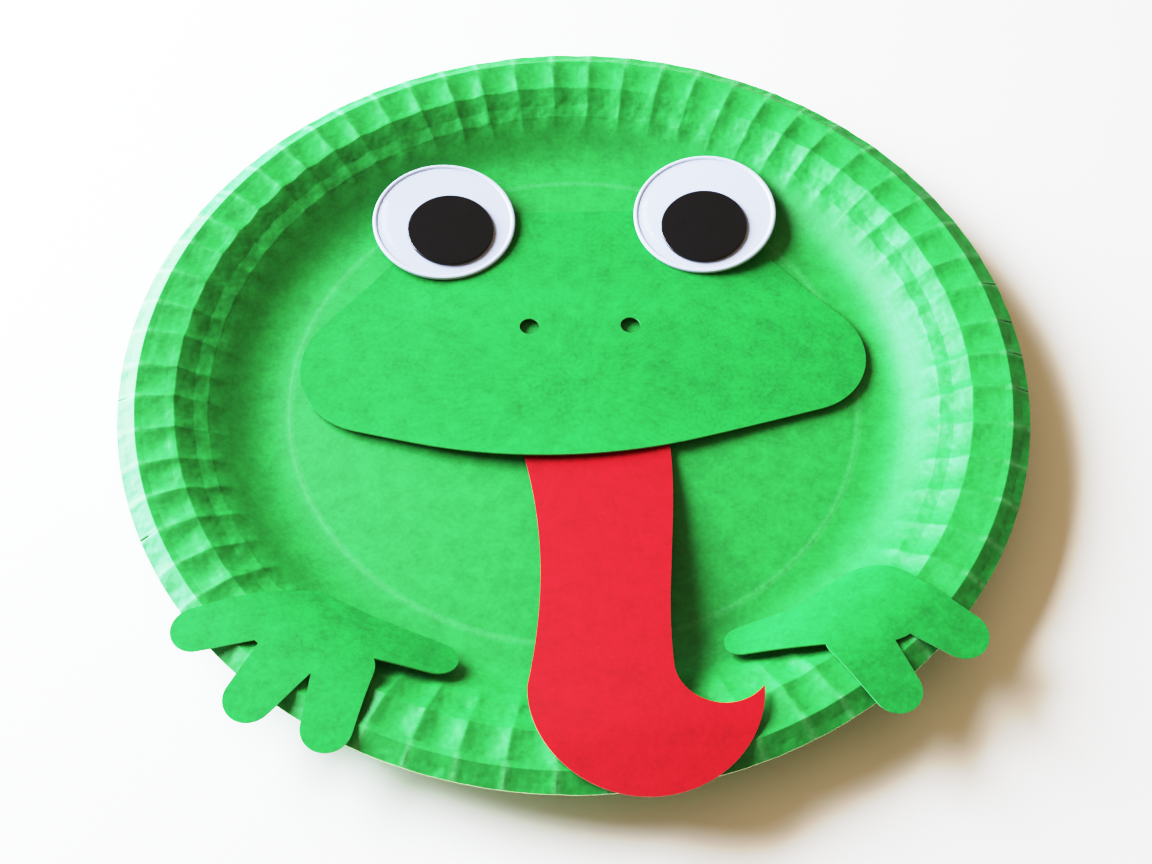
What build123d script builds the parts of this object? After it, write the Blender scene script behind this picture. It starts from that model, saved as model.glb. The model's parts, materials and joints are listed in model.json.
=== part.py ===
"""Paper plate frog: a fluted paper plate with a cut card face, tongue and hands and two wobbly eyes.

Millimetres, +Z up. The origin is the middle of the plate's underside, where it rests on the table.
The tongue points towards -Y, and left and right are those of someone who looks at the frog's face.
"""
from build123d import *
import os
from math import asin, copysign, cos, degrees, radians, sin, sqrt, tan

# Plate: the bands of its rim from the edge inwards, each with its width and its drop below the last
FLUTES = 64
BOARD = 0.45
PLATE_RADIUS = 115.0
PLATE_DEPTH = 14.3
LIP_WIDTH = 4.5
LIP_DROP = 1.5
LIP_ROUND = 2.7
LIP_ROUND_DROP = 0.45
BAND_WIDTH = 8.5
BAND_DROP = 1.1
STEP_WIDTH = 3.8
STEP_DROP = 2.2
LEDGE_WIDTH = 4.2
LEDGE_DROP = 0.6
WALL_SLOPE = 37.0
TOE_BEND = 11.0
RING_INSET = 3.1
RING_WIDTH = 1.0
RING_RISE = 0.15

# Flutes: how far each scallop dips below its two ridges on the way down the rim
CREST_DIP = 0.2
BAND_DIP = 0.6
STEP_DIP = 0.5
LEDGE_DIP = 0.15

# Card, the glue film that keeps it off the plate, and the gap where it only rests
CARD = 0.35
GLUE = 0.3
SEAT_GAP = 0.15

# Face: its corners before rounding, from the plate's axis or past the edge of its flat bottom.
# The chin's round is in radii of that flat bottom.
FACE_TURN = 1.5
FACE_TOP_MARGIN = 14.7
FACE_TOP_LEFT = -35.2
FACE_TOP_RIGHT = 40.7
FACE_TOP_ROUND = 12.0
LEFT_CHEEK_REACH = 9.6
LEFT_CHEEK_LEVEL = -4.9
LEFT_CHEEK_ROUND = 21.5
RIGHT_CHEEK_REACH = 13.7
RIGHT_CHEEK_LEVEL = -0.8
RIGHT_CHEEK_ROUND = 18.5
CHIN = (-5.1, -27.6)
CHIN_ROUND = 1.75
FACE_BEND = 150.0
NOSTRIL_DIAMETER = 5.3
NOSTRIL_SPACING = 27.1
NOSTRIL_MIDDLE = (2.0, 20.0)

# Tongue: a strip from under the chin that bends up and climbs to the rim, where it ends in a curl.
# The places of its root, waist and hip are from the axis, and those of its end are inwards from the crest.
TONGUE_ROOT = -11.0
TONGUE_ROOT_LEFT = -15.5
TONGUE_ROOT_RIGHT = 23.8
TONGUE_WAIST = (-8.2, -47.0)
TONGUE_HIP = (24.3, -42.0)
TONGUE_NECK = (22.6, 36.5)
HOOK_NECK = (22.9, 26.0)
HOOK_BOTTOM = (31.5, 16.2)
CURL_MIDDLE = (16.4, 20.5)
CURL_RADIUS = 26.2
TONGUE_SWING = 9.3
TONGUE_CLIMB = 9.5
TONGUE_ROOT_BEND = 200.0
TONGUE_RIM_BEND = 40.0
TONGUE_LEVEL = 6.0

# Hands: their bend down the rim, which is turned towards the thumb, and circles (outwards from the crest,
# along the rim, radius) that the scissors rounded
HAND_BEND = 36.0
HAND_BEND_INSET = 3.0
HAND_BEND_TURN = 6.0
HAND_SLOPE = 31.0
LEFT_HAND_ANGLE = 229.0
LEFT_PALM = (-14.2, 4.1, 10.5)
LEFT_FINGERS = (
    ((4.0, -13.0, 5.4), (-9.5, -4.4, 6.5)),
    ((7.0, 8.7, 5.8), (-8.6, 6.8, 7.6)),
    ((0.5, 26.5, 5.8), (-12.3, 18.3, 6.8)),
    ((-29.5, 29.4, 5.0), (-21.7, 14.3, 6.3)),
)
RIGHT_HAND_ANGLE = 317.0
RIGHT_PALM = (-12.7, -2.6, 11.0)
RIGHT_FINGERS = (
    ((6.7, 3.0, 6.0), (-8.6, 1.1, 7.2)),
    ((4.0, -18.0, 5.7), (-10.6, -13.3, 7.2)),
    ((-30.3, -28.0, 4.4), (-21.4, -17.4, 6.2)),
)

# Eyes: the inner edge of each sits on the face, and its outer edge perches on the wall, in from the ledge
EYE_DIAMETER = 40.0
EYE_BACK = 0.6
EYE_FLANGE = 1.5
EYE_SKIN = 0.4
EYE_CELL = 3.1
EYE_SHOULDER = 0.5
LEFT_EYE_ANGLE = 123.3
LEFT_EYE_PERCH = 6.9
RIGHT_EYE_ANGLE = 58.3
RIGHT_EYE_PERCH = 4.8

# Pupils: loose discs, with their share of the cell's width. Each lies off the middle by a share of its
# free way, in a direction from uphill.
PUPIL_WIDTH = 0.663
PUPIL_THICKNESS = 0.8
PUPIL_PLAY = 0.1
LEFT_PUPIL_OFF = 0.66
LEFT_PUPIL_WAY = 176.0
RIGHT_PUPIL_OFF = 0.79
RIGHT_PUPIL_WAY = 207.0

# Derived: radii and heights of the plate's upper face, down to the flat bottom, and what rests on it
FLUTE_PITCH = 360.0 / FLUTES
FLOOR = BOARD
CREST_RADIUS = PLATE_RADIUS - LIP_WIDTH
BAND_RADIUS = CREST_RADIUS - BAND_WIDTH
BAND_HEIGHT = PLATE_DEPTH - BAND_DROP
STEP_RADIUS = BAND_RADIUS - STEP_WIDTH
STEP_HEIGHT = BAND_HEIGHT - STEP_DROP
LEDGE_RADIUS = STEP_RADIUS - LEDGE_WIDTH
LEDGE_HEIGHT = STEP_HEIGHT - LEDGE_DROP
FOOT_HEIGHT = FLOOR + TOE_BEND * (1 - cos(radians(WALL_SLOPE)))
FOOT_RADIUS = LEDGE_RADIUS - (LEDGE_HEIGHT - FOOT_HEIGHT) / tan(radians(WALL_SLOPE))
FLAT_RADIUS = FOOT_RADIUS - TOE_BEND * sin(radians(WALL_SLOPE))
TOE_RADIUS = FLAT_RADIUS + TOE_BEND * sin(radians(WALL_SLOPE / 2))
TOE_HEIGHT = FLOOR + TOE_BEND * (1 - cos(radians(WALL_SLOPE / 2)))
CARD_SEAT = FLOOR + GLUE
RIM_SEAT = PLATE_DEPTH + SEAT_GAP
CELL_RADIUS = EYE_DIAMETER / 2 - EYE_FLANGE - EYE_SKIN
PUPIL_RADIUS = PUPIL_WIDTH * CELL_RADIUS
AMPLE = 2 * PLATE_RADIUS

# Circles that the plate's sheet passes through, as (radius, ridge height, dip between the ridges)
STATIONS = (
    (PLATE_RADIUS, PLATE_DEPTH - LIP_DROP, 0.0),
    (CREST_RADIUS + LIP_ROUND, PLATE_DEPTH - LIP_ROUND_DROP, 0.0),
    (CREST_RADIUS, PLATE_DEPTH, CREST_DIP),
    (BAND_RADIUS, BAND_HEIGHT, BAND_DIP),
    (STEP_RADIUS, STEP_HEIGHT, STEP_DIP),
    (LEDGE_RADIUS, LEDGE_HEIGHT, LEDGE_DIP),
    (FOOT_RADIUS, FOOT_HEIGHT, 0.0),
    (TOE_RADIUS, TOE_HEIGHT, 0.0),
    (FLAT_RADIUS, FLOOR, 0.0),
)


def scallop(radius, height, dip):
    """Edge across one flute, from ridge to ridge: an arc that hangs by the dip, or a straight line."""
    ridge = Vector(radius, 0, height)
    next_ridge = ridge.rotate(Axis.Z, FLUTE_PITCH)
    if not dip:
        return Edge.make_line(ridge, next_ridge)
    return Edge.make_three_point_arc(ridge, (ridge + next_ridge) / 2 - Vector(0, 0, dip), next_ridge)


def make_plate():
    """Pressed board: ruled panels from circle to circle make one flute, which is repeated round the rim."""
    upper = [scallop(*station) for station in STATIONS]
    lower = [edge.moved(Pos(0, 0, -BOARD)) for edge in upper]
    flute = [Face.make_surface_from_curves(upper[0], lower[0])]
    for side in (upper, lower):
        flute += [Face.make_surface_from_curves(a, b) for a, b in zip(side, side[1:])]
    turns = [FLUTE_PITCH * i for i in range(FLUTES)]
    faces = [face.rotate(Axis.Z, turn) for turn in turns for face in flute]
    for side in (upper, lower):
        faces.append(Face(Wire([side[-1].rotate(Axis.Z, turn) for turn in turns])))
    sheet = Solid(Shell(faces))
    middle = FLAT_RADIUS - RING_INSET
    bead = Polyline(
        (middle - RING_WIDTH / 2, FLOOR),
        (middle, FLOOR + RING_RISE),
        (middle + RING_WIDTH / 2, FLOOR),
        close=True,
    )
    return sheet + revolve(Plane.XZ * make_face(bead), Axis.Z)


def bent_card(outline, bend, angle):
    """Card cut to a plan outline and bent along a profile that runs out from the axis at an angle."""
    along = Vector(cos(radians(angle)), sin(radians(angle)), 0)
    side = Plane(origin=(0, 0, 0), x_dir=along, z_dir=along.cross(Vector(0, 0, 1)))
    section = side * make_face(Wire(bend).offset_2d(CARD, side=Side.LEFT))
    sheet = extrude(section, AMPLE, both=True)
    return sheet & extrude(outline, AMPLE)


def tongue_bend():
    """Tongue's side view: level at its root, a bend, a straight climb and a bend back over the crest."""
    climb = radians(TONGUE_CLIMB)
    bends = TONGUE_ROOT_BEND + TONGUE_RIM_BEND
    rise = RIM_SEAT - CARD_SEAT - bends * (1 - cos(climb))
    run = rise / tan(climb)
    start = CREST_RADIUS - TONGUE_LEVEL - run - bends * sin(climb)
    level = Line((-AMPLE, CARD_SEAT), (start, CARD_SEAT))
    root = JernArc(level @ 1, level % 1, TONGUE_ROOT_BEND, TONGUE_CLIMB)
    slope = Line(root @ 1, root @ 1 + Vector(run, rise))
    rim = JernArc(slope @ 1, slope % 1, TONGUE_RIM_BEND, -TONGUE_CLIMB)
    return [level, root, slope, rim, Line(rim @ 1, (AMPLE, RIM_SEAT))]


def face_bend():
    """Face's side view: level on the plate, then bent up just enough to lie over the tongue's root."""
    swing = radians(TONGUE_SWING)
    turn = radians(FACE_TURN)
    root_end = TONGUE_ROOT_RIGHT * sin(swing) - TONGUE_ROOT * cos(swing)
    past_bend = max(0.0, root_end - (tongue_bend()[0] @ 1).X)
    lift = TONGUE_ROOT_BEND - sqrt(TONGUE_ROOT_BEND**2 - past_bend**2) + CARD + GLUE
    over = TONGUE_ROOT_RIGHT * sin(turn) - TONGUE_ROOT * cos(turn)
    level = Line((-AMPLE, CARD_SEAT), (over - sqrt((2 * FACE_BEND - lift) * lift), CARD_SEAT))
    return [level, JernArc(level @ 1, level % 1, FACE_BEND, 45)]


def make_face_card():
    """Face: a five-cornered card with round corners, two nostrils and a chin that stands off the plate."""
    top = FLAT_RADIUS - FACE_TOP_MARGIN
    corners = (
        (FACE_TOP_LEFT, top),
        (FACE_TOP_RIGHT, top),
        (FLAT_RADIUS + RIGHT_CHEEK_REACH, RIGHT_CHEEK_LEVEL),
        CHIN,
        (-FLAT_RADIUS - LEFT_CHEEK_REACH, LEFT_CHEEK_LEVEL),
    )
    chin = CHIN_ROUND * FLAT_RADIUS
    rounds = (FACE_TOP_ROUND, FACE_TOP_ROUND, RIGHT_CHEEK_ROUND, chin, LEFT_CHEEK_ROUND)
    outline = make_face(FilletPolyline(*corners, radius=rounds, close=True))
    nostrils = GridLocations(NOSTRIL_SPACING, 0, 2, 1)
    outline -= Pos(*NOSTRIL_MIDDLE) * nostrils * Circle(NOSTRIL_DIAMETER / 2)
    return Rot(0, 0, FACE_TURN) * bent_card(outline, face_bend(), -90)


def make_tongue():
    """Tongue: an S-edged strip whose end is a half round with a hooked tip over the rim."""
    neck, hook_neck, hook_bottom, middle = [
        Vector(x, inset - CREST_RADIUS) for x, inset in (TONGUE_NECK, HOOK_NECK, HOOK_BOTTOM, CURL_MIDDLE)
    ]
    half = Vector(CURL_RADIUS, 0)
    left = Spline((TONGUE_ROOT_LEFT, TONGUE_ROOT), TONGUE_WAIST, middle - half)
    curl = ThreePointArc(middle - half, middle - Vector(0, CURL_RADIUS), middle + half)
    hook = ThreePointArc(middle + half, hook_bottom, hook_neck)
    right = Spline(hook_neck, neck, TONGUE_HIP, (TONGUE_ROOT_RIGHT, TONGUE_ROOT))
    outline = make_face([left, curl, hook, right, Line(right @ 1, left @ 0)])
    return bent_card(outline, tongue_bend(), TONGUE_SWING - 90)


def disc(circle):
    """Filled circle of a hand, in the hand's own frame at the crest."""
    return Pos(circle[0], circle[1]) * Circle(circle[2])


def hand_bend():
    """Hands' side view: level over the crest, then bent down to lie along the wall."""
    slope = radians(HAND_SLOPE)
    out = CREST_RADIUS - HAND_BEND_INSET - HAND_BEND * sin(slope)
    foot = Vector(out, RIM_SEAT - HAND_BEND * (1 - cos(slope)))
    inner = Line(foot - AMPLE * Vector(cos(slope), sin(slope)), foot)
    bend = JernArc(inner @ 1, inner % 1, HAND_BEND, -HAND_SLOPE)
    return [inner, bend, Line(bend @ 1, (AMPLE, RIM_SEAT))]


def make_hand(angle, palm, fingers):
    """Hand: tapered fingers with round tips, thumb last, on a palm that is bent down the plate's rim."""
    tips = [make_hull(disc(tip).edges() + disc(root).edges()) for tip, root in fingers]
    heel = make_hull(disc(palm).edges() + disc(fingers[0][1]).edges() + disc(fingers[-1][1]).edges())
    outline = Rot(0, 0, angle) * Pos(CREST_RADIUS, 0) * (heel + tips)
    thumb = fingers[-1][0]
    return bent_card(outline, hand_bend(), angle + copysign(HAND_BEND_TURN, thumb[1]))


def eye_place(angle, perch):
    """Frame of an eye's underside: X runs up its lean, from its seat on the face to its perch on the wall."""
    low = CARD_SEAT + CARD + SEAT_GAP
    high = LEDGE_HEIGHT - perch * tan(radians(WALL_SLOPE)) + SEAT_GAP
    lean = degrees(asin((high - low) / EYE_DIAMETER))
    edge = Rot(0, 0, angle) * Pos(LEDGE_RADIUS - perch, 0, high)
    return edge * Rot(0, -lean, 0) * Pos(-EYE_DIAMETER / 2, 0)


def make_eye_back():
    """White disc that closes the eye from below."""
    return extrude(Circle(EYE_DIAMETER / 2), EYE_BACK)


def make_eye_dome():
    """Clear cover: a flange on the disc, a straight side, a bevelled shoulder and a level top."""
    edge = EYE_DIAMETER / 2
    base = edge - EYE_FLANGE
    top = EYE_CELL + EYE_SKIN
    section = Polyline(
        (CELL_RADIUS, 0),
        (CELL_RADIUS, EYE_CELL),
        (0, EYE_CELL),
        (0, top),
        (base - EYE_SHOULDER, top),
        (base, top - EYE_SHOULDER),
        (base, EYE_SKIN),
        (edge, EYE_SKIN),
        (edge, 0),
        close=True,
    )
    return Pos(0, 0, EYE_BACK) * revolve(Plane.XZ * make_face(section), Axis.Z)


def make_pupil(off, way):
    """Loose black disc in the eye's cell, off the middle by a share of its free way."""
    lying = Rot(0, 0, way) * Pos(off * (CELL_RADIUS - PUPIL_RADIUS), 0, EYE_BACK + PUPIL_PLAY)
    return lying * extrude(Circle(PUPIL_RADIUS), PUPIL_THICKNESS)


def make_nodes():
    """Every piece by its name, in place."""
    nodes = {
        "plate": make_plate(),
        "face": make_face_card(),
        "tongue": make_tongue(),
        "left_hand": make_hand(LEFT_HAND_ANGLE, LEFT_PALM, LEFT_FINGERS),
        "right_hand": make_hand(RIGHT_HAND_ANGLE, RIGHT_PALM, RIGHT_FINGERS),
    }
    eyes = (
        ("left", eye_place(LEFT_EYE_ANGLE, LEFT_EYE_PERCH), make_pupil(LEFT_PUPIL_OFF, LEFT_PUPIL_WAY)),
        ("right", eye_place(RIGHT_EYE_ANGLE, RIGHT_EYE_PERCH), make_pupil(RIGHT_PUPIL_OFF, RIGHT_PUPIL_WAY)),
    )
    for side, place, pupil in eyes:
        nodes[f"{side}_eye_back"] = place * make_eye_back()
        nodes[f"{side}_eye_dome"] = place * make_eye_dome()
        nodes[f"{side}_pupil"] = place * pupil
    return nodes


os.makedirs("parts", exist_ok=True)
for name, shape in make_nodes().items():
    export_step(shape, f"parts/{name}.step")
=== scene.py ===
"""Paper plate frog: a green fluted paper plate with a card face, tongue and hands and two wobbly eyes."""
import json
import math

import bmesh
import bpy
import numpy as np
from bpy.props import FloatProperty, FloatVectorProperty, IntProperty, PointerProperty
from mathutils import Matrix, Vector


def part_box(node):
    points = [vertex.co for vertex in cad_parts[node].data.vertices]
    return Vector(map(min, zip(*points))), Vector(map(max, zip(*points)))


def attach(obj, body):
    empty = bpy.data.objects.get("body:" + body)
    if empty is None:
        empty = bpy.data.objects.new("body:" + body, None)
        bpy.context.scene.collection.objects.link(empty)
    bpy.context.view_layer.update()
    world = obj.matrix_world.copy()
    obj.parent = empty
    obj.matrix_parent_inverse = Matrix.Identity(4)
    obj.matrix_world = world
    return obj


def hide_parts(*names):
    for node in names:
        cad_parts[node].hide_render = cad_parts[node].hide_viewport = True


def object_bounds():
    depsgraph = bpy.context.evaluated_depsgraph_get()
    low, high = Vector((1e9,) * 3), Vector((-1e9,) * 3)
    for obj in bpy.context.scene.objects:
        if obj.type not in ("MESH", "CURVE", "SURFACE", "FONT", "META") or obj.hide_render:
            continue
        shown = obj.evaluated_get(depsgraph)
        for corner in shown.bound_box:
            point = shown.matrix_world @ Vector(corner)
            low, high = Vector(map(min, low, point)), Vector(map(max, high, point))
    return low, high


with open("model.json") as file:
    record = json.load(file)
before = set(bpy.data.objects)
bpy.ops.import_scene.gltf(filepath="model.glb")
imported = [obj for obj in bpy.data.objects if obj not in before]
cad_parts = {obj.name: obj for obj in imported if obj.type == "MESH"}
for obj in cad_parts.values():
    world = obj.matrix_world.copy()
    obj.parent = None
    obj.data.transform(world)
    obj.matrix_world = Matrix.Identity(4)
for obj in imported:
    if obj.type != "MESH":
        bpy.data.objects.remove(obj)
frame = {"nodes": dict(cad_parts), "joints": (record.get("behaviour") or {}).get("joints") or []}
CAD_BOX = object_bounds()

bl_info = {
    "name": "Paper Plate Frog",
    "version": (1, 0, 0),
    "blender": (4, 5, 0),
    "location": "3D View > Sidebar > Frog",
    "description": "Builds a paper plate frog round its CAD frame, with a plain stage and a camera",
    "category": "Add Mesh",
}

MM = 0.001
BODY = "frog"

# The plate's section, from its middle out to the edge, in mm: radius and height of the upper face, how far
# a flute dips there, the rounding of that corner, how crumpled the board is and how pale its ridges and ring
# are painted, partly rub wear and partly painted highlight
SECTION = (
    (0.0, 0.45, 0.0, 0.0, 0.0, 0.0),
    (30.0, 0.45, 0.0, 0.0, 0.0, 0.0),
    (60.0, 0.45, 0.0, 0.0, 0.0, 0.0),
    (72.8, 0.45, 0.0, 0.0, 0.0, 0.0),
    (73.4, 0.45, 0.0, 0.3, 0.0, 0.1),
    (74.0, 0.47, 0.0, 0.3, 0.0, 0.15),
    (74.6, 0.45, 0.0, 0.3, 0.0, 0.1),
    (75.4, 0.45, 0.0, 0.0, 0.0, 0.0),
    (83.86, 0.45, 0.0, 17.6, 0.0, 0.0),
    (90.0, 5.85, 0.15, 0.0, 0.3, 0.0),
    (91.6, 7.26, 0.4, 0.0, 0.7, 0.0),
    (93.4, 8.84, 0.75, 2.2, 1.2, 0.0),
    (96.7, 10.42, 0.85, 2.2, 1.4, 0.0),
    (98.8, 11.81, 0.9, 0.0, 1.0, 0.0),
    (100.9, 13.19, 0.85, 1.0, 0.9, 0.0),
    (103.0, 13.42, 1.2, 0.8, 0.8, 0.05),
    (106.5, 13.82, 1.2, 0.0, 0.8, 0.05),
    (108.7, 14.08, 0.65, 1.0, 0.7, 0.1),
    (110.4, 14.30, 0.16, 0.6, 0.3, 0.4),
    (113.0, 13.48, 0.5, 1.6, 1.4, 0.3),
    (115.0, 12.50, 0.2, 0.0, 0.8, 0.5),
)

# Flutes: the first ridge and how far the others drift from even spacing, in degrees, then in parts of a flute
# how far a ridge strays and how wide its flank is, and how blunt the ridge is
FLUTE_START = 1.27
FLUTE_DRIFT = 2.78
RIDGE_STRAY = 0.07
FLANK = 0.5
RIDGE_BLUNTNESS = 0.2

# Net of the plate: columns in a flute, how much they crowd towards its ridges, rows round a corner, the gap
# that is closed, and the bend in degrees from which an edge is sharp
FLUTE_STEPS = 12
CROWDING = 0.8
FILLET_STEPS = 4
WELD = 0.002 * MM
BOARD_SHARP = 55

# Crumple: the size of its hollows, and the level of the noise from which they sink
CRUMPLE_SIZE = 4.5 * MM
CRUMPLE_LEVEL = 0.35

# Splits: the ridges whose board gave way when the lip was pressed down, by number from +X, the radii at which
# a split starts and is whole, its half width in flutes and its depth
SPLIT_RIDGES = (0, 1, 2, 33, 37, 63)
SPLIT_START = 111.4 * MM
SPLIT_WHOLE = 112.4 * MM
SPLIT_HALF_WIDTH = 0.02
SPLIT_DEPTH = 0.25 * MM

# Pale lines, partly rub wear and partly painted highlight: half width of a pale ridge in flutes, and the
# radius that the pressed ring lies within
PALE_LINE_HALF_WIDTH = 0.12
PALE_RING_RADIUS = 78 * MM

# Eye shells in mm, from the middle of the eye's underside: radius and height round each section
EYE_BACK_SECTION = (
    (0.0, 0.0), (19.6, 0.0), (20.0, 0.15), (20.0, 0.62), (19.88, 0.83), (19.6, 0.96), (19.3, 0.98),
    (19.0, 0.9), (18.76, 0.72), (18.62, 0.6), (0.0, 0.6),
)
EYE_DOME_SECTION = (
    (18.05, 0.62), (18.0, 1.3), (17.75, 2.0), (17.2, 2.6), (16.0, 3.1), (13.5, 3.45), (9.0, 3.63), (0.0, 3.7),
    (0.0, 4.1), (9.0, 4.03), (13.7, 3.86), (16.3, 3.48), (17.6, 2.9), (18.2, 2.1), (18.42, 1.3), (18.5, 0.62),
)
PUPIL_SECTION = ((0.0, -0.4), (11.75, -0.4), (12.0, -0.2), (12.0, 0.2), (11.75, 0.4), (0.0, 0.4))
LATHE_STEPS = 128
LATHE_WELD = 0.001 * MM
LATHE_SHARP = 34

# Cards: the net that lets them bend, how softly they do, the step at which a bend is read, the bevel of a cut
# edge and the corner that gets it, in degrees, and the way that each card's bends run, in degrees from +X
CARD_NET = 2 * MM
CARD_SOFTNESS = 3 * MM
PROFILE_STEP = 0.25 * MM
CUT_EDGE = 0.1 * MM
CUT_CORNER = 50
BEND_WAYS = {"face": -88.5, "tongue": -80.7, "left_hand": 235.0, "right_hand": 311.0}

# Face: it arches off the plate from below its eyes down to where its chin bends
FACE_BOW = 1.2 * MM
FACE_BOW_TOP = 36 * MM
FACE_BOW_RUN = 14 * MM
FACE_BOW_FOOT = 6 * MM
FACE_BOW_END = 22 * MM

# Camera that took the picture: its place in mm, its pitch and roll in degrees, its lens and sensor in mm
CAMERA_PLACE = (0.6, -232.0, 317.9)
CAMERA_PITCH = 55.45
CAMERA_ROLL = -0.38
CAMERA_LENS = 46.875
CAMERA_SENSOR = 36.0

# Window that lights the table: its direction in degrees, and its distance, width and height in metres
WINDOW_AZIMUTH = 155
WINDOW_ELEVATION = 25
WINDOW_DISTANCE = 0.8
WINDOW_WIDTH = 0.73
WINDOW_HEIGHT = 0.66

# Round tabletop: its radius in metres, the corners round its edge, and the level that keeps it off the plate
FLOOR_RADIUS = 0.55
FLOOR_CORNERS = 96
FLOOR_LEVEL = -0.02 * MM

# Sizes in the paper and plastic: clouds of dye, fibres, small folds of crumpled board and patches of gloss,
# then the fibres' share of the mottle, how deep a fold is for its crumple, and the depth of the grain
CLOUD_SIZE = 5 * MM
FIBRE_SIZE = 1.2 * MM
FOLD_SIZE = 3.5 * MM
GLOSS_SIZE = 3 * MM
FIBRE_SHARE = 0.55
FOLD_DEPTH = 0.3
GRAIN_DEPTH = 0.015 * MM

# Tone curve of the camera: how much light falls on it, and how bright its picture shows that
TONE_CURVE = (
    (0.0, 0.0), (0.08, 0.045), (0.15, 0.105), (0.28, 0.245), (0.5, 0.475), (0.85, 0.745), (1.4, 0.88),
    (2.4, 0.955), (5.0, 1.0),
)


def linear(hex_colour):
    """Linear RGBA of an sRGB hex colour such as "3FCE65"."""
    parts = [int(hex_colour[i:i + 2], 16) / 255 for i in (0, 2, 4)]
    return tuple(c / 12.92 if c <= 0.04045 else ((c + 0.055) / 1.055) ** 2.4 for c in parts) + (1.0,)


def add(tree, kind, inputs=None, **settings):
    """Adds a node, sets it up, and fills its inputs with values or links."""
    node = tree.nodes.new(kind)
    for name, value in settings.items():
        setattr(node, name, value)
    for name, value in (inputs or {}).items():
        if isinstance(value, bpy.types.NodeSocket):
            tree.links.new(value, node.inputs[name])
        else:
            node.inputs[name].default_value = value
    return node


def colour_prop(name, description, hex_colour):
    """Colour property whose default is an sRGB hex colour, kept linear."""
    return FloatVectorProperty(
        name=name, description=description, default=linear(hex_colour), subtype="COLOR", size=4,
        min=0.0, max=1.0,
    )


class FrogPlateSettings(bpy.types.PropertyGroup):
    """Sizes and colour of the plate."""
    flutes: IntProperty(name="Flutes", description="Scallops round the rim", default=64, min=8, max=120)
    board: FloatProperty(
        name="Board", description="Thickness of the board", default=0.45 * MM, min=0.0001, max=0.002,
        unit="LENGTH",
    )
    flute_depth: FloatProperty(
        name="Flute depth", description="Depth of the scallops, as a share of the section's dips",
        default=1.0, min=0.0, max=2.0, subtype="FACTOR",
    )
    unevenness: FloatProperty(
        name="Unevenness", description="How much the scallops differ from each other",
        default=0.3, min=0.0, max=0.9, subtype="FACTOR",
    )
    seed: IntProperty(name="Seed", description="Picks the differences between the scallops", default=4, min=0)
    colour: colour_prop("Board colour", "Dye of the plate's board", "339347")


class FrogCardSettings(bpy.types.PropertyGroup):
    """Thickness and colours of the cut card."""
    thickness: FloatProperty(
        name="Card", description="Thickness of the card", default=0.35 * MM, min=0.0001, max=0.002,
        unit="LENGTH",
    )
    green: colour_prop("Green card", "Colour of the face and the hands", "268B3F")
    green_edge: colour_prop("Green cut edge", "Colour of the fibres where green card was cut", "5DB56D")
    red: colour_prop("Red card", "Colour of the tongue", "AC1120")
    red_edge: colour_prop("Red cut edge", "Colour of the fibres where red card was cut", "C96F66")


class FrogEyeSettings(bpy.types.PropertyGroup):
    """Colours of the wobbly eyes."""
    white: colour_prop("Eye white", "Colour of the disc behind the pupil", "B4BCD2")
    black: colour_prop("Pupil", "Colour of the loose disc", "0C0C10")


class FrogStageSettings(bpy.types.PropertyGroup):
    """Floor and light of the stage."""
    floor: colour_prop("Floor", "Colour of the tabletop", "FAF8F5")
    window: colour_prop("Window light", "Colour of the broad soft light", "E4F0FF")
    room: colour_prop("Room light", "Colour of the light from all round", "FFDFB4")
    window_power: FloatProperty(
        name="Window power", description="Watts of the soft light", default=48.5, min=0.0
    )
    room_power: FloatProperty(
        name="Room power", description="Strength of the light from all round", default=0.5, min=0.0
    )
    backdrop: colour_prop("Backdrop", "Colour that shows beyond the tabletop", "F4F3F0")
    backdrop_power: FloatProperty(
        name="Backdrop power", description="Brightness of the backdrop", default=1.15, min=0.0
    )


def new_material(name):
    """Empty node material and its Principled shader."""
    material = bpy.data.materials.new(name)
    material.use_nodes = True
    return material, material.node_tree, material.node_tree.nodes["Principled BSDF"]


def paper_mottle(tree, coords, colour, depth):
    """Colour of dyed pulp: it took the dye in soft clouds of 5 mm, and fibres lie in it 1.2 mm long.

    Real fibres are a third of that width and wouldn't show."""
    clouds = add(tree, "ShaderNodeTexNoise", {
        "Vector": coords, "Scale": 1 / CLOUD_SIZE, "Detail": 4.0, "Roughness": 0.6,
    })
    fibres = add(tree, "ShaderNodeTexNoise", {
        "Vector": coords, "Scale": 1 / FIBRE_SIZE, "Detail": 6.0, "Roughness": 0.75,
    })
    both = add(tree, "ShaderNodeMix", {
        "Factor": FIBRE_SHARE, "A": clouds.outputs["Fac"], "B": fibres.outputs["Fac"],
    }, data_type="FLOAT")
    spread = add(tree, "ShaderNodeMapRange", {
        "Value": both.outputs["Result"], "From Min": 0.3, "From Max": 0.7,
        "To Min": 1 - depth, "To Max": 1 + depth,
    })
    tone = add(tree, "ShaderNodeHueSaturation", {"Color": colour, "Value": spread.outputs["Result"]})
    return tone.outputs["Color"], fibres.outputs["Fac"]


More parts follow.
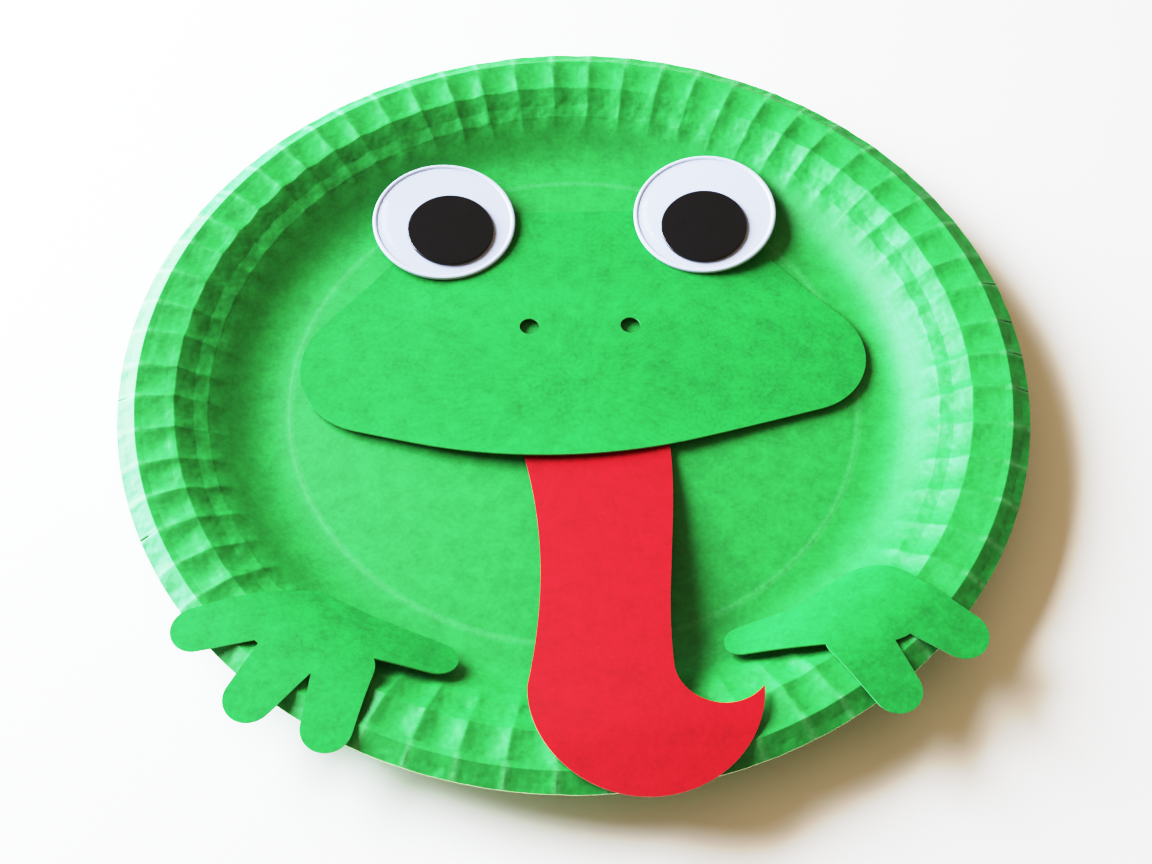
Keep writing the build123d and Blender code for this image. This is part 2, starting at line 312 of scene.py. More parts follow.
def plate_board_material(colour):
    """Pressed paperboard, dyed through and thinly clay coated, with a soft sheen; its ridges and ring paler,
    partly rub wear and partly painted highlight; its splits painted dark as shade.
    """
    material, tree, shader = new_material("dyed_pressed_paperboard")
    coords = add(tree, "ShaderNodeTexCoord").outputs["Object"]
    tone, fibres = paper_mottle(tree, coords, colour, 0.3)
    rubbed_and_highlit = add(tree, "ShaderNodeAttribute", attribute_name="pale").outputs["Fac"]
    cut = add(tree, "ShaderNodeAttribute", attribute_name="cut").outputs["Fac"]
    split = add(tree, "ShaderNodeAttribute", attribute_name="split").outputs["Fac"]
    rub_and_highlight = add(tree, "ShaderNodeMath", {0: rubbed_and_highlit, 1: fibres}, operation="MULTIPLY")
    rub_and_highlight = add(tree, "ShaderNodeMath", {0: rub_and_highlight.outputs[0], 1: 0.7}, operation="MULTIPLY")
    # Dark green in the splits: painted shade in the cracks.
    # Paler ridges and ring: partly rub wear, partly painted highlight. Pale cut edge: the board's own core.
    for share, stuff in ((rub_and_highlight.outputs[0], "B9F5C4"), (cut, "D5EEC4"), (split, "0B3A14")):
        tone = add(tree, "ShaderNodeMix", {"Factor": share, "A": tone, "B": linear(stuff)}, data_type="RGBA")
        tone = tone.outputs["Result"]
    crumple = add(tree, "ShaderNodeAttribute", attribute_name="crumple").outputs["Fac"]
    noise = add(tree, "ShaderNodeTexNoise", {"Vector": coords, "Scale": 1 / FOLD_SIZE, "Detail": 1.0})
    folds = add(tree, "ShaderNodeMath", {
        0: noise.outputs["Fac"], 1: crumple,
    }, operation="MULTIPLY").outputs[0]
    grain = add(tree, "ShaderNodeMath", {0: fibres, 1: GRAIN_DEPTH}, operation="MULTIPLY").outputs[0]
    relief = add(tree, "ShaderNodeMath", {0: folds, 1: FOLD_DEPTH, 2: grain}, operation="MULTIPLY_ADD")
    bump = add(tree, "ShaderNodeBump", {"Height": relief.outputs[0], "Strength": 1.0, "Distance": 1.0})
    tree.links.new(tone, shader.inputs["Base Color"])
    tree.links.new(bump.outputs["Normal"], shader.inputs["Normal"])
    shader.inputs["Roughness"].default_value = 0.47
    shader.inputs["IOR"].default_value = 1.35
    return material


def card_material(name, colour):
    """Dyed sugar paper: matt, with a tooth of loose fibres and cloudy dye."""
    material, tree, shader = new_material(name)
    coords = add(tree, "ShaderNodeTexCoord").outputs["Object"]
    tone, fibres = paper_mottle(tree, coords, colour, 0.34)
    bump = add(tree, "ShaderNodeBump", {"Height": fibres, "Strength": 0.35, "Distance": 0.08 * MM})
    tree.links.new(tone, shader.inputs["Base Color"])
    tree.links.new(bump.outputs["Normal"], shader.inputs["Normal"])
    shader.inputs["Roughness"].default_value = 0.7
    shader.inputs["IOR"].default_value = 1.3
    return material


def solid_material(name, colour, roughness, ior):
    """Moulded or cut stuff of one colour, with a faint unevenness of 3 mm in its gloss."""
    material, tree, shader = new_material(name)
    coords = add(tree, "ShaderNodeTexCoord").outputs["Object"]
    cloud = add(tree, "ShaderNodeTexNoise", {"Vector": coords, "Scale": 1 / GLOSS_SIZE, "Detail": 3.0})
    gloss = add(tree, "ShaderNodeMapRange", {
        "Value": cloud.outputs["Fac"], "To Min": roughness * 0.8, "To Max": roughness * 1.2,
    })
    tree.links.new(gloss.outputs["Result"], shader.inputs["Roughness"])
    shader.inputs["Base Color"].default_value = colour
    shader.inputs["IOR"].default_value = ior
    return material


def clear_shell_material():
    """Vacuum formed clear film: it shows only as a thin gleam that grows towards its sides."""
    material, tree, shader = new_material("clear_formed_film")
    tree.nodes.remove(shader)
    facing = add(tree, "ShaderNodeLayerWeight", {"Blend": 0.5}).outputs["Facing"]
    rising = add(tree, "ShaderNodeMath", {0: facing, 1: 4.0}, operation="POWER").outputs[0]
    gleam = add(tree, "ShaderNodeMapRange", {"Value": rising, "To Min": 0.004, "To Max": 0.12}).outputs[0]
    clear = add(tree, "ShaderNodeBsdfTransparent", {"Color": (0.99, 0.99, 1.0, 1.0)})
    gloss = add(tree, "ShaderNodeBsdfGlossy", {"Color": (1.0, 1.0, 1.0, 1.0), "Roughness": 0.15})
    film = add(tree, "ShaderNodeMixShader", {0: gleam, 1: clear.outputs[0], 2: gloss.outputs[0]})
    tree.links.new(film.outputs[0], tree.nodes["Material Output"].inputs["Surface"])
    return material


def section_rows(tree, outline):
    """Section with its corners rounded, and how many points it then has: each becomes a row of the sheet."""
    curve = add(tree, "GeometryNodeMeshToCurve", {"Mesh": outline})
    rounding = add(tree, "GeometryNodeInputNamedAttribute", {"Name": "round"}, data_type="FLOAT")
    section = add(tree, "GeometryNodeFilletCurve", {
        "Curve": curve.outputs[0], "Radius": rounding.outputs["Attribute"], "Count": FILLET_STEPS,
        "Limit Radius": True,
    }, mode="POLY").outputs[0]
    size = add(tree, "GeometryNodeAttributeDomainSize", {"Geometry": section}, component="CURVE")
    return section, size.outputs["Point Count"]


def flute_places(tree, given, rows):
    """Row, flute, way to the nearer ridge, and place counted in flutes, of each vertex."""
    index = add(tree, "GeometryNodeInputIndex").outputs[0]
    row = add(tree, "ShaderNodeMath", {0: index, 1: rows}, operation="MODULO").outputs[0]
    column = add(tree, "ShaderNodeMath", {0: index, 1: rows}, operation="DIVIDE").outputs[0]
    column = add(tree, "ShaderNodeMath", {0: column}, operation="FLOOR").outputs[0]
    along = add(tree, "ShaderNodeMath", {0: column, 1: given["Steps"]}, operation="DIVIDE").outputs[0]
    flute = add(tree, "ShaderNodeMath", {0: along}, operation="FLOOR").outputs[0]

    # Columns stand closer together near the ridges
    even = add(tree, "ShaderNodeMath", {0: along}, operation="FRACT").outputs[0]
    turn = add(tree, "ShaderNodeMath", {0: even, 1: math.tau}, operation="MULTIPLY").outputs[0]
    wave = add(tree, "ShaderNodeMath", {0: turn}, operation="SINE").outputs[0]
    pull = add(tree, "ShaderNodeMath", {0: wave, 1: -CROWDING / math.tau}, operation="MULTIPLY").outputs[0]
    across = add(tree, "ShaderNodeMath", {0: even, 1: pull}, operation="ADD").outputs[0]
    far_side = add(tree, "ShaderNodeMath", {0: 1.0, 1: across}, operation="SUBTRACT").outputs[0]
    to_ridge = add(tree, "ShaderNodeMath", {0: across, 1: far_side}, operation="MINIMUM").outputs[0]

    # Ridges stray a little from their places
    flute_id = add(tree, "ShaderNodeMath", {0: flute, 1: given["Flutes"]}, operation="MODULO").outputs[0]
    next_flute = add(tree, "ShaderNodeMath", {0: flute, 1: 1.0}, operation="ADD").outputs[0]
    next_id = add(tree, "ShaderNodeMath", {0: next_flute, 1: given["Flutes"]}, operation="MODULO").outputs[0]
    strays = [
        add(tree, "FunctionNodeRandomValue", {
            "Min": -RIDGE_STRAY, "Max": RIDGE_STRAY, "ID": ridge, "Seed": given["Seed"],
        }, data_type="FLOAT").outputs["Value"]
        for ridge in (flute_id, next_id)
    ]
    stray = add(tree, "ShaderNodeMix", {
        "Factor": across, "A": strays[0], "B": strays[1],
    }, data_type="FLOAT").outputs[0]
    place = add(tree, "ShaderNodeMath", {0: flute, 1: across}, operation="ADD").outputs[0]
    place = add(tree, "ShaderNodeMath", {0: place, 1: stray}, operation="ADD").outputs[0]
    return row, flute_id, to_ridge, place


def flute_angle(tree, flutes, place):
    """Angle round the plate of a place that is counted in flutes, which drift from even spacing."""
    pitch = add(tree, "ShaderNodeMath", {0: math.tau, 1: flutes}, operation="DIVIDE").outputs[0]
    evenly = add(tree, "ShaderNodeMath", {
        0: place, 1: pitch, 2: math.radians(FLUTE_START),
    }, operation="MULTIPLY_ADD").outputs[0]
    drift = add(tree, "ShaderNodeMath", {0: evenly}, operation="SINE").outputs[0]
    return add(tree, "ShaderNodeMath", {
        0: drift, 1: math.radians(FLUTE_DRIFT), 2: evenly,
    }, operation="MULTIPLY_ADD").outputs[0]


def flute_dish(tree, to_ridge):
    """Share of its dip that a flute has reached: a bowl that falls steeply from a blunt ridge."""
    left_over = add(tree, "ShaderNodeMapRange", {
        "Value": to_ridge, "From Min": 0.0, "From Max": FLANK, "To Min": 1.0, "To Max": 0.0,
    }).outputs[0]
    bulge = add(tree, "ShaderNodeMath", {0: left_over, 1: left_over}, operation="MULTIPLY").outputs[0]
    bowl = add(tree, "ShaderNodeMath", {0: 1.0, 1: bulge}, operation="SUBTRACT").outputs[0]
    blunt = add(tree, "ShaderNodeMath", {0: bowl, 1: RIDGE_BLUNTNESS}, operation="ADD").outputs[0]
    squared = add(tree, "ShaderNodeMath", {0: bowl, 1: bowl}, operation="MULTIPLY").outputs[0]
    return add(tree, "ShaderNodeMath", {0: squared, 1: blunt}, operation="DIVIDE").outputs[0]


def split_share(tree, flutes, place, to_ridge, radius):
    """How open the board is: a narrow crack down the lip of the ridges that gave way, which the board's
    colour paints dark as shade.
    """
    ridge = add(tree, "ShaderNodeMath", {0: place, 1: 0.5}, operation="ADD").outputs[0]
    ridge = add(tree, "ShaderNodeMath", {0: ridge}, operation="FLOOR").outputs[0]
    ridge = add(tree, "ShaderNodeMath", {0: ridge, 1: flutes}, operation="MODULO").outputs[0]
    is_split = None
    for number in SPLIT_RIDGES:
        same = add(tree, "ShaderNodeMath", {
            0: ridge, 1: float(number), 2: 0.1,
        }, operation="COMPARE").outputs[0]
        is_split = same if is_split is None else add(
            tree, "ShaderNodeMath", {0: is_split, 1: same}, operation="MAXIMUM").outputs[0]
    near = add(tree, "ShaderNodeMapRange", {
        "Value": to_ridge, "From Min": 0.0, "From Max": SPLIT_HALF_WIDTH, "To Min": 1.0, "To Max": 0.0,
    }).outputs[0]
    out = add(tree, "ShaderNodeMapRange", {
        "Value": radius, "From Min": SPLIT_START, "From Max": SPLIT_WHOLE,
    }).outputs[0]
    split = add(tree, "ShaderNodeMath", {0: is_split, 1: near}, operation="MULTIPLY").outputs[0]
    return add(tree, "ShaderNodeMath", {0: split, 1: out}, operation="MULTIPLY").outputs[0]


def closed_board(tree, sheet, thickness):
    """Board made of a sheet, its underside and the cut edge between them."""
    down = add(tree, "ShaderNodeMath", {0: thickness, 1: -1.0}, operation="MULTIPLY").outputs[0]
    down = add(tree, "ShaderNodeCombineXYZ", {"Z": down}).outputs[0]
    lower = add(tree, "GeometryNodeExtrudeMesh", {
        "Mesh": sheet, "Offset": down, "Offset Scale": 1.0, "Individual": False,
    }, mode="FACES")
    cut_edge = add(tree, "GeometryNodeStoreNamedAttribute", {
        "Geometry": lower.outputs["Mesh"], "Selection": lower.outputs["Side"], "Name": "cut", "Value": 1.0,
    }, data_type="FLOAT", domain="FACE").outputs[0]
    turned = add(tree, "GeometryNodeFlipFaces", {"Mesh": cut_edge}).outputs[0]
    both = add(tree, "GeometryNodeJoinGeometry")
    tree.links.new(turned, both.inputs[0])
    tree.links.new(sheet, both.inputs[0])
    board = add(tree, "GeometryNodeMergeByDistance", {
        "Geometry": both.outputs[0], "Distance": WELD,
    }).outputs[0]
    bend = add(tree, "GeometryNodeInputMeshEdgeAngle").outputs["Unsigned Angle"]
    sharp = add(tree, "ShaderNodeMath", {
        0: bend, 1: math.radians(BOARD_SHARP),
    }, operation="GREATER_THAN").outputs[0]
    return add(tree, "GeometryNodeStoreNamedAttribute", {
        "Geometry": board, "Name": "sharp_edge", "Value": sharp,
    }, data_type="BOOLEAN", domain="EDGE").outputs[0]


def flute_tree():
    """Node tree that sweeps the section round, dips each flute between its ridges and closes the board."""
    tree = bpy.data.node_groups.new("Plate flutes", "GeometryNodeTree")
    sockets = tree.interface
    sockets.new_socket("Geometry", in_out="INPUT", socket_type="NodeSocketGeometry")
    for name, kind in (
        ("Flutes", "NodeSocketInt"), ("Steps", "NodeSocketInt"), ("Board", "NodeSocketFloat"),
        ("Flute depth", "NodeSocketFloat"), ("Unevenness", "NodeSocketFloat"), ("Seed", "NodeSocketInt"),
        ("Material", "NodeSocketMaterial"),
    ):
        sockets.new_socket(name, in_out="INPUT", socket_type=kind)
    sockets.new_socket("Geometry", in_out="OUTPUT", socket_type="NodeSocketGeometry")
    given = add(tree, "NodeGroupInput").outputs
    flutes = given["Flutes"]

    # Grid: a row for each point of the section, and columns all the way round
    section, rows = section_rows(tree, given["Geometry"])
    steps = add(tree, "ShaderNodeMath", {0: flutes, 1: given["Steps"]}, operation="MULTIPLY").outputs[0]
    columns = add(tree, "ShaderNodeMath", {0: steps, 1: 1.0}, operation="ADD").outputs[0]
    sheet = add(tree, "GeometryNodeMeshGrid", {"Vertices X": columns, "Vertices Y": rows}).outputs["Mesh"]
    row, flute_id, to_ridge, place = flute_places(tree, given, rows)
    angle = flute_angle(tree, flutes, place)

    # What the section says at this row
    sampled = {}
    for name in ("dip", "crumple", "pale"):
        value = add(tree, "GeometryNodeInputNamedAttribute", {"Name": name}, data_type="FLOAT")
        sampled[name] = add(tree, "GeometryNodeSampleIndex", {
            "Geometry": section, "Value": value.outputs["Attribute"], "Index": row,
        }, data_type="FLOAT").outputs[0]
    point = add(tree, "GeometryNodeInputPosition").outputs[0]
    point = add(tree, "GeometryNodeSampleIndex", {
        "Geometry": section, "Value": point, "Index": row,
    }, data_type="FLOAT_VECTOR").outputs[0]
    point = add(tree, "ShaderNodeSeparateXYZ", {0: point}).outputs
    radius = point["X"]

    # Sheet: turned about the axis
    cosine = add(tree, "ShaderNodeMath", {0: angle}, operation="COSINE").outputs[0]
    sine = add(tree, "ShaderNodeMath", {0: angle}, operation="SINE").outputs[0]
    x = add(tree, "ShaderNodeMath", {0: radius, 1: cosine}, operation="MULTIPLY").outputs[0]
    y = add(tree, "ShaderNodeMath", {0: radius, 1: sine}, operation="MULTIPLY").outputs[0]
    smooth_place = add(tree, "ShaderNodeCombineXYZ", {"X": x, "Y": y, "Z": point["Z"]}).outputs[0]

    # Dips: every scallop is pressed a little differently
    least = add(tree, "ShaderNodeMath", {0: 1.0, 1: given["Unevenness"]}, operation="SUBTRACT").outputs[0]
    pressed = add(tree, "FunctionNodeRandomValue", {
        "Min": least, "Max": 1.0, "ID": flute_id, "Seed": given["Seed"],
    }, data_type="FLOAT").outputs["Value"]
    sunk = add(tree, "ShaderNodeMath", {
        0: sampled["dip"], 1: flute_dish(tree, to_ridge),
    }, operation="MULTIPLY").outputs[0]
    sunk = add(tree, "ShaderNodeMath", {0: sunk, 1: pressed}, operation="MULTIPLY").outputs[0]
    sunk = add(tree, "ShaderNodeMath", {0: sunk, 1: given["Flute depth"]}, operation="MULTIPLY").outputs[0]

    # Crumple: soft hollows, which only ever sink the board
    noise = add(tree, "ShaderNodeTexNoise", {
        "Vector": smooth_place, "Scale": 1 / CRUMPLE_SIZE, "Detail": 3.0,
    }).outputs["Fac"]
    noise = add(tree, "ShaderNodeMath", {0: noise, 1: CRUMPLE_LEVEL}, operation="SUBTRACT").outputs[0]
    noise = add(tree, "ShaderNodeMath", {0: noise, 1: 0.0}, operation="MAXIMUM").outputs[0]
    crumpled = add(tree, "ShaderNodeMath", {0: sampled["crumple"], 1: noise}, operation="MULTIPLY").outputs[0]
    sunk = add(tree, "ShaderNodeMath", {0: sunk, 1: crumpled}, operation="ADD").outputs[0]
    split = split_share(tree, flutes, place, to_ridge, radius)
    opened = add(tree, "ShaderNodeMath", {0: split, 1: SPLIT_DEPTH}, operation="MULTIPLY").outputs[0]
    sunk = add(tree, "ShaderNodeMath", {0: sunk, 1: opened}, operation="ADD").outputs[0]
    height = add(tree, "ShaderNodeMath", {0: point["Z"], 1: sunk}, operation="SUBTRACT").outputs[0]
    pressed_place = add(tree, "ShaderNodeCombineXYZ", {"X": x, "Y": y, "Z": height}).outputs[0]

    # Pale lines, partly rub wear and partly painted highlight: the pressed ring, and the ridges where the
    # section is pale
    ridge_line = add(tree, "ShaderNodeMapRange", {
        "Value": to_ridge, "From Min": 0.0, "From Max": PALE_LINE_HALF_WIDTH, "To Min": 1.0, "To Max": 0.0,
    }).outputs[0]
    on_floor = add(tree, "ShaderNodeMath", {0: radius, 1: PALE_RING_RADIUS}, operation="LESS_THAN").outputs[0]
    shows = add(tree, "ShaderNodeMath", {0: ridge_line, 1: on_floor}, operation="MAXIMUM").outputs[0]
    pale = add(tree, "ShaderNodeMath", {0: sampled["pale"], 1: shows}, operation="MULTIPLY").outputs[0]

    for name, value in (("pale", pale), ("split", split), ("crumple", sampled["crumple"])):
        sheet = add(tree, "GeometryNodeStoreNamedAttribute", {
            "Geometry": sheet, "Name": name, "Value": value,
        }, data_type="FLOAT", domain="POINT").outputs[0]
    sheet = add(tree, "GeometryNodeSetPosition", {"Geometry": sheet, "Position": pressed_place}).outputs[0]
    sheet = add(tree, "GeometryNodeMergeByDistance", {"Geometry": sheet, "Distance": WELD}).outputs[0]
    board = closed_board(tree, sheet, given["Board"])
    real = add(tree, "GeometryNodeRealizeInstances", {"Geometry": board}).outputs[0]
    done = add(tree, "GeometryNodeSetMaterial", {"Geometry": real, "Material": given["Material"]}).outputs[0]
    add(tree, "NodeGroupOutput", {"Geometry": done})
    return tree


def new_piece(name, mesh):
    """Object for a mesh that is already in place."""
    piece = bpy.data.objects.new(name, mesh)
    bpy.context.scene.collection.objects.link(piece)
    return piece


def baked_mesh(piece, name):
    """Plain mesh of a piece with its modifiers applied. They are then removed."""
    graph = bpy.context.evaluated_depsgraph_get()
    mesh = bpy.data.meshes.new_from_object(
        piece.evaluated_get(graph), preserve_all_data_layers=True, depsgraph=graph
    )
    if not mesh.polygons:
        raise RuntimeError(f"{name} came out with no faces")
    mesh.name = name
    piece.modifiers.clear()
    piece.data = mesh
    return mesh


def lathe(name, section, place):
    """Closed mesh turned about Z from (radius, height) points in mm, then put in place."""
    mesh = bpy.data.meshes.new(name)
    shape = bmesh.new()
    points = [shape.verts.new((radius * MM, 0.0, height * MM)) for radius, height in section]
    edges = [shape.edges.new(pair) for pair in zip(points, points[1:])]
    if section[0][0] > 0:
        edges.append(shape.edges.new((points[-1], points[0])))
    bmesh.ops.spin(
        shape, geom=points + edges, cent=(0, 0, 0), axis=(0, 0, 1), angle=math.tau, steps=LATHE_STEPS,
        use_merge=True,
    )
    bmesh.ops.remove_doubles(shape, verts=shape.verts, dist=LATHE_WELD)
    bmesh.ops.recalc_face_normals(shape, faces=shape.faces)
    shape.transform(place)
    for face in shape.faces:
        face.smooth = True
    for edge in shape.edges:
        edge.smooth = edge.calc_face_angle(0.0) < math.radians(LATHE_SHARP)
    shape.to_mesh(mesh)
    shape.free()
    return mesh


def cut_net(shape, low, high, spacing):
    """Cuts a flat shape along a square net, so that it can bend evenly."""
    for axis in (0, 1):
        lines = math.ceil((high[axis] - low[axis]) / spacing)
        normal = Vector((1.0, 0.0, 0.0)) if axis == 0 else Vector((0.0, 1.0, 0.0))
        for i in range(1, lines):
            point = normal * (low[axis] + i * (high[axis] - low[axis]) / lines)
            everything = shape.verts[:] + shape.edges[:] + shape.faces[:]
            bmesh.ops.bisect_plane(shape, geom=everything, plane_co=point, plane_no=normal, dist=0.0005 * MM)


def bend_profile(shape, way):
    """Height of a bent card by the place along its bend, read from its CAD solid and eased round."""
    along = Vector((math.cos(way), math.sin(way), 0.0))
    known = np.array(sorted((vert.co.dot(along), vert.co.z) for vert in shape.verts)).T
    places = np.arange(known[0, 0], known[0, -1], PROFILE_STEP)
    slope = np.gradient(np.interp(places, *known), PROFILE_STEP)
    reach = round(3 * CARD_SOFTNESS / PROFILE_STEP)
    bell = np.exp(-0.5 * (np.arange(-reach, reach + 1) * PROFILE_STEP / CARD_SOFTNESS) ** 2)
    eased = np.convolve(np.pad(slope, reach, mode="edge"), bell / bell.sum(), mode="valid")
    heights = known[1, 0] + np.cumsum(eased) * PROFILE_STEP
    return lambda point: float(np.interp(point.dot(along), places, heights))


def card_sheet(node, bow):
    """Upper face of a card's CAD solid as a net with smooth bends, raised by bow(point)."""
    shape = bmesh.new()
    shape.from_mesh(frame["nodes"][node].data)
    bmesh.ops.remove_doubles(shape, verts=shape.verts, dist=WELD)
    hidden = [face for face in shape.faces if face.normal.z < 0.3]
    bmesh.ops.delete(shape, geom=hidden, context="FACES")
    height = bend_profile(shape, math.radians(BEND_WAYS[node]))
    for vert in shape.verts:
        vert.co.z = 0.0
    bmesh.ops.dissolve_limit(shape, angle_limit=math.radians(1), verts=shape.verts, edges=shape.edges)
    cut_net(shape, *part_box(node), CARD_NET)
    for vert in shape.verts:
        vert.co.z = min(height(vert.co) + bow(vert.co), CAD_BOX[1][2])
    mesh = bpy.data.meshes.new(node + "_sheet")
    shape.to_mesh(mesh)
    shape.free()
    return mesh


def smooth_way(value, start, run):
    """Share of the way that a value has gone from its start, eased at both ends."""
    way = min(max((value - start) / run, 0.0), 1.0)
    return way * way * (3 - 2 * way)


def flat_bow(point):
    """A card with no shape beyond its bends."""
    return 0.0


def face_bow(point):
    """Rise of the face between its eyes and its chin, where it arches off the plate."""
    rise = smooth_way(FACE_BOW_TOP - point.y, 0.0, FACE_BOW_RUN)
    return FACE_BOW * rise * (1 - smooth_way(FACE_BOW_FOOT - point.y, 0.0, FACE_BOW_END))


def make_card(name, node, face_material, edge_material, thickness, bow=flat_bow):
    """Cut card piece that stands for a CAD node: its eased sheet, given the card's thickness downwards."""
    piece = new_piece(name, card_sheet(node, bow))
    wall = piece.modifiers.new("Thickness", "SOLIDIFY")
    wall.thickness = thickness
    wall.offset = -1.0
    wall.use_even_offset = True
    wall.material_offset_rim = 1
    cut = piece.modifiers.new("Cut edge", "BEVEL")
    cut.width = CUT_EDGE
    cut.segments = 1
    cut.limit_method = "ANGLE"
    cut.angle_limit = math.radians(CUT_CORNER)
    cut.material = 1
    mesh = piece.data
    mesh.materials.append(face_material)
    mesh.materials.append(edge_material)
    mesh = baked_mesh(piece, name)
    for face in mesh.polygons:
        face.use_smooth = face.material_index == 0
    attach(piece, BODY)
    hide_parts(node)
    return piece


def eye_place(side):
    """Place of an eye's underside, with Z along the axis that its pupil rolls about."""
    joint = next(j for j in frame["joints"] if j["name"] == f"{side}_pupil_roll")
    turn = Vector(joint["axis"]).to_track_quat("Z", "Y").to_matrix().to_4x4()
    return Matrix.Translation(joint["pos_m"]) @ turn


class FROG_OT_plate(bpy.types.Operator):
    """Presses the fluted plate"""
    bl_idname = "frog.plate"
    bl_label = "Plate"

    def execute(self, context):
        sizes = context.scene.frog_plate
        mesh = bpy.data.meshes.new("plate_section")
        mesh.from_pydata(
            [(radius * MM, 0.0, height * MM) for radius, height, *_ in SECTION],
            [(i, i + 1) for i in range(len(SECTION) - 1)], [],
        )
        marks = (("dip", MM), ("round", MM), ("crumple", MM), ("pale", 1.0))
        for column, (name, unit) in enumerate(marks, 2):
            values = mesh.attributes.new(name, "FLOAT", "POINT")
            values.data.foreach_set("value", [station[column] * unit for station in SECTION])
        piece = new_piece("fluted_plate", mesh)
        tree = flute_tree()
        modifier = piece.modifiers.new("Flutes", "NODES")
        modifier.node_group = tree
        settings = {
            "Flutes": sizes.flutes, "Steps": FLUTE_STEPS, "Board": sizes.board,
            "Flute depth": sizes.flute_depth, "Unevenness": sizes.unevenness, "Seed": sizes.seed,
            "Material": plate_board_material(sizes.colour),
        }
        for item in tree.interface.items_tree:
            if item.in_out == "INPUT" and item.name in settings:
                modifier[item.identifier] = settings[item.name]
        mesh = baked_mesh(piece, "fluted_plate")
        mesh.polygons.foreach_set("use_smooth", [True] * len(mesh.polygons))
        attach(piece, BODY)
        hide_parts("plate")
        return {"FINISHED"}


class FROG_OT_green_card(bpy.types.Operator):
    """Cuts the face and the two hands from green card"""
    bl_idname = "frog.green_card"
    bl_label = "Face and hands"

    def execute(self, context):
        card = context.scene.frog_card
        paper = card_material("green_sugar_paper", card.green)
        edge = solid_material("green_paper_cut_edge", card.green_edge, 0.85, 1.48)
        make_card("frog_face", "face", paper, edge, card.thickness, face_bow)
        for side in ("left", "right"):
            make_card(f"hand_{side}", f"{side}_hand", paper, edge, card.thickness)
        return {"FINISHED"}


class FROG_OT_tongue(bpy.types.Operator):
    """Cuts the tongue from red card"""
    bl_idname = "frog.tongue"
    bl_label = "Tongue"

    def execute(self, context):
        card = context.scene.frog_card
        paper = card_material("red_sugar_paper", card.red)
        edge = solid_material("red_paper_cut_edge", card.red_edge, 0.85, 1.48)
        make_card("frog_tongue", "tongue", paper, edge, card.thickness)
        return {"FINISHED"}


class FROG_OT_eyes(bpy.types.Operator):
    """Forms the two wobbly eyes with their loose pupils"""
    bl_idname = "frog.eyes"
    bl_label = "Eyes"

    def execute(self, context):
        colours = context.scene.frog_eyes
        white = solid_material("white_polystyrene", colours.white, 0.35, 1.59)
        black = solid_material("black_polystyrene", colours.black, 0.3, 1.46)
        clear = clear_shell_material()
        for side in ("left", "right"):
            place = eye_place(side)
            low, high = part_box(f"{side}_pupil")
            pupil_place = Matrix.Translation((low + high) / 2) @ place.to_3x3().to_4x4()
            for part, section, at, material, body, slot in (
                ("eye_back", EYE_BACK_SECTION, place, white, BODY, "eye_white"),
                ("eye_dome", EYE_DOME_SECTION, place, clear, BODY, "eye_clear"),
                ("pupil", PUPIL_SECTION, pupil_place, black, f"{side}_pupil", "pupil_black"),
            ):
                piece = new_piece(f"{part}_{side}", lathe(f"{part}_{side}", section, at))
                piece.data.materials.append(material)
                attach(piece, body)
                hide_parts(f"{side}_{part}")
        return {"FINISHED"}


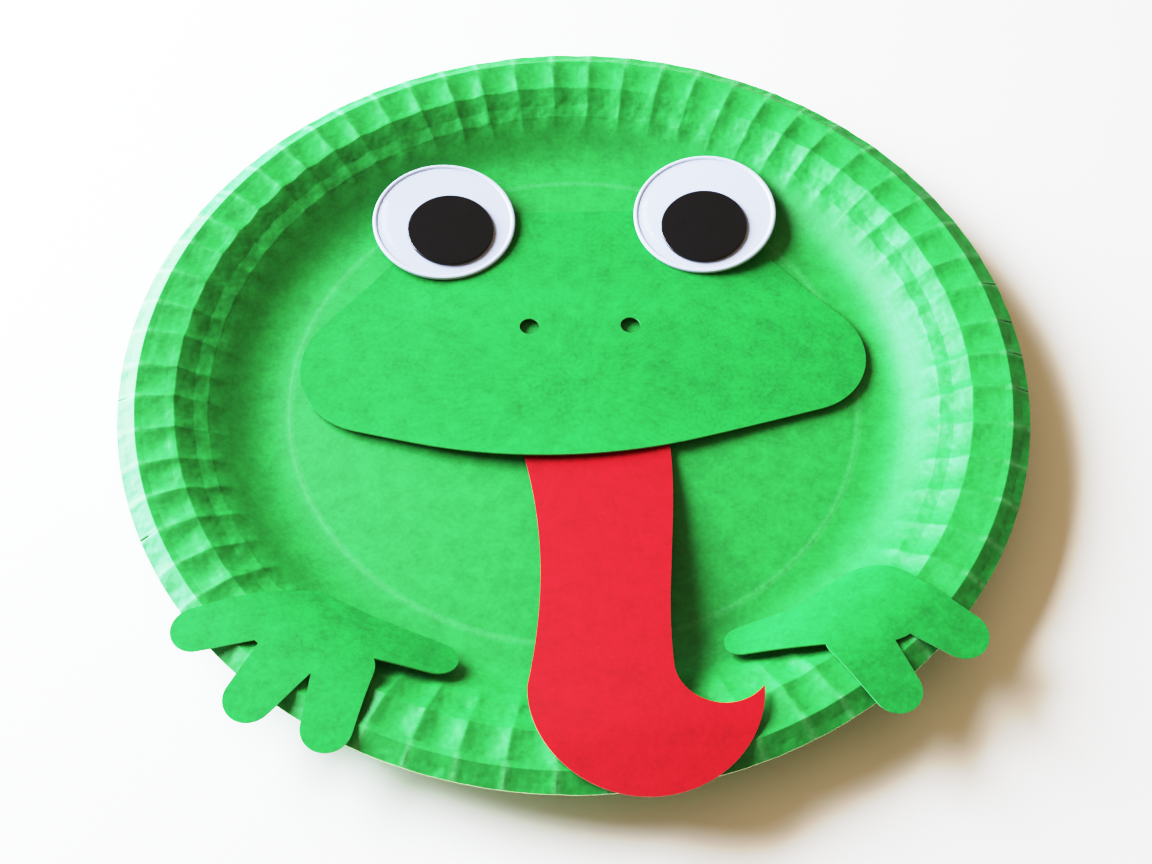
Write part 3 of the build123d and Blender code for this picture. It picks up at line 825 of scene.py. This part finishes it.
class FROG_OT_stage(bpy.types.Operator):
    """Sets the floor, the soft light and the camera"""
    bl_idname = "frog.stage"
    bl_label = "Stage"

    def execute(self, context):
        scene = context.scene
        look = scene.frog_stage
        mesh = bpy.data.meshes.new("tabletop")
        turns = [math.tau * i / FLOOR_CORNERS for i in range(FLOOR_CORNERS)]
        mesh.from_pydata(
            [(FLOOR_RADIUS * math.cos(turn), FLOOR_RADIUS * math.sin(turn), FLOOR_LEVEL) for turn in turns],
            [], [range(FLOOR_CORNERS)],
        )
        floor = new_piece("tabletop", mesh)
        mesh.materials.append(solid_material("white_laminate", look.floor, 0.6, 1.5))

        light = bpy.data.lights.new("window", "AREA")
        light.shape = "RECTANGLE"
        light.size = WINDOW_WIDTH
        light.size_y = WINDOW_HEIGHT
        light.energy = look.window_power
        light.color = look.window[:3]
        lamp = bpy.data.objects.new("window", light)
        up = Vector((0.0, 0.0, math.sin(math.radians(WINDOW_ELEVATION))))
        across = Matrix.Rotation(math.radians(WINDOW_AZIMUTH), 3, "Z") @ Vector((1.0, 0.0, 0.0))
        lamp.location = WINDOW_DISTANCE * (across * math.cos(math.radians(WINDOW_ELEVATION)) + up)
        lamp.rotation_euler = (-lamp.location).to_track_quat("-Z", "Y").to_euler()
        scene.collection.objects.link(lamp)

        world = bpy.data.worlds.new("room")
        world.use_nodes = True
        tree = world.node_tree
        lit = tree.nodes["Background"]
        lit.inputs["Color"].default_value = look.room
        lit.inputs["Strength"].default_value = look.room_power
        seen = add(tree, "ShaderNodeBackground", {"Color": look.backdrop, "Strength": look.backdrop_power})
        straight = add(tree, "ShaderNodeLightPath").outputs["Is Camera Ray"]
        both = add(tree, "ShaderNodeMixShader", {0: straight, 1: lit.outputs[0], 2: seen.outputs[0]})
        tree.links.new(both.outputs[0], tree.nodes["World Output"].inputs["Surface"])
        scene.world = world
        scene.view_settings.view_transform = "Standard"
        scene.view_settings.use_curve_mapping = True
        tone = scene.view_settings.curve_mapping
        brightest = TONE_CURVE[-1][0]
        tone.white_level = (brightest, brightest, brightest)
        for fallen, shown in TONE_CURVE[1:-1]:
            tone.curves[3].points.new(fallen / brightest, shown)
        tone.update()

        lens = bpy.data.cameras.new("camera")
        lens.lens = CAMERA_LENS
        lens.sensor_width = CAMERA_SENSOR
        lens.clip_start = 0.01
        pitch, roll = math.radians(CAMERA_PITCH), math.radians(CAMERA_ROLL)
        forward = Vector((0.0, math.cos(pitch), -math.sin(pitch)))
        level_right = Vector((1.0, 0.0, 0.0))
        level_down = forward.cross(level_right)
        right = math.cos(roll) * level_right + math.sin(roll) * level_down
        down = math.cos(roll) * level_down - math.sin(roll) * level_right
        turn = Matrix((right, -down, -forward)).transposed().to_4x4()
        camera = bpy.data.objects.new("camera", lens)
        camera.matrix_world = Matrix.Translation(Vector(CAMERA_PLACE) * MM) @ turn
        scene.collection.objects.link(camera)
        scene.camera = camera
        return {"FINISHED"}


class FROG_PT_panel(bpy.types.Panel):
    """Lists the frog's pieces"""
    bl_idname = "FROG_PT_panel"
    bl_label = "Paper Plate Frog"
    bl_space_type = "VIEW_3D"
    bl_region_type = "UI"
    bl_category = "Frog"

    def draw(self, context):
        for settings, operators in PANEL_ROWS:
            group = getattr(context.scene, settings)
            for name in group.__annotations__:
                self.layout.prop(group, name)
            for one in operators:
                self.layout.operator(one.bl_idname)


PANEL_ROWS = (
    ("frog_plate", (FROG_OT_plate,)),
    ("frog_card", (FROG_OT_green_card, FROG_OT_tongue)),
    ("frog_eyes", (FROG_OT_eyes,)),
    ("frog_stage", (FROG_OT_stage,)),
)
SETTINGS = {
    "frog_plate": FrogPlateSettings,
    "frog_card": FrogCardSettings,
    "frog_eyes": FrogEyeSettings,
    "frog_stage": FrogStageSettings,
}
OPERATORS = (FROG_OT_plate, FROG_OT_green_card, FROG_OT_tongue, FROG_OT_eyes, FROG_OT_stage)


def register():
    for name, group in SETTINGS.items():
        bpy.utils.register_class(group)
        setattr(bpy.types.Scene, name, PointerProperty(type=group))
    for one in (*OPERATORS, FROG_PT_panel):
        bpy.utils.register_class(one)


def unregister():
    for one in (FROG_PT_panel, *reversed(OPERATORS)):
        bpy.utils.unregister_class(one)
    for name, group in SETTINGS.items():
        delattr(bpy.types.Scene, name)
        bpy.utils.unregister_class(group)


def main():
    register()
    bpy.ops.frog.plate()
    bpy.ops.frog.green_card()
    bpy.ops.frog.tongue()
    bpy.ops.frog.eyes()
    bpy.ops.frog.stage()


if __name__ == "__main__":
    main()
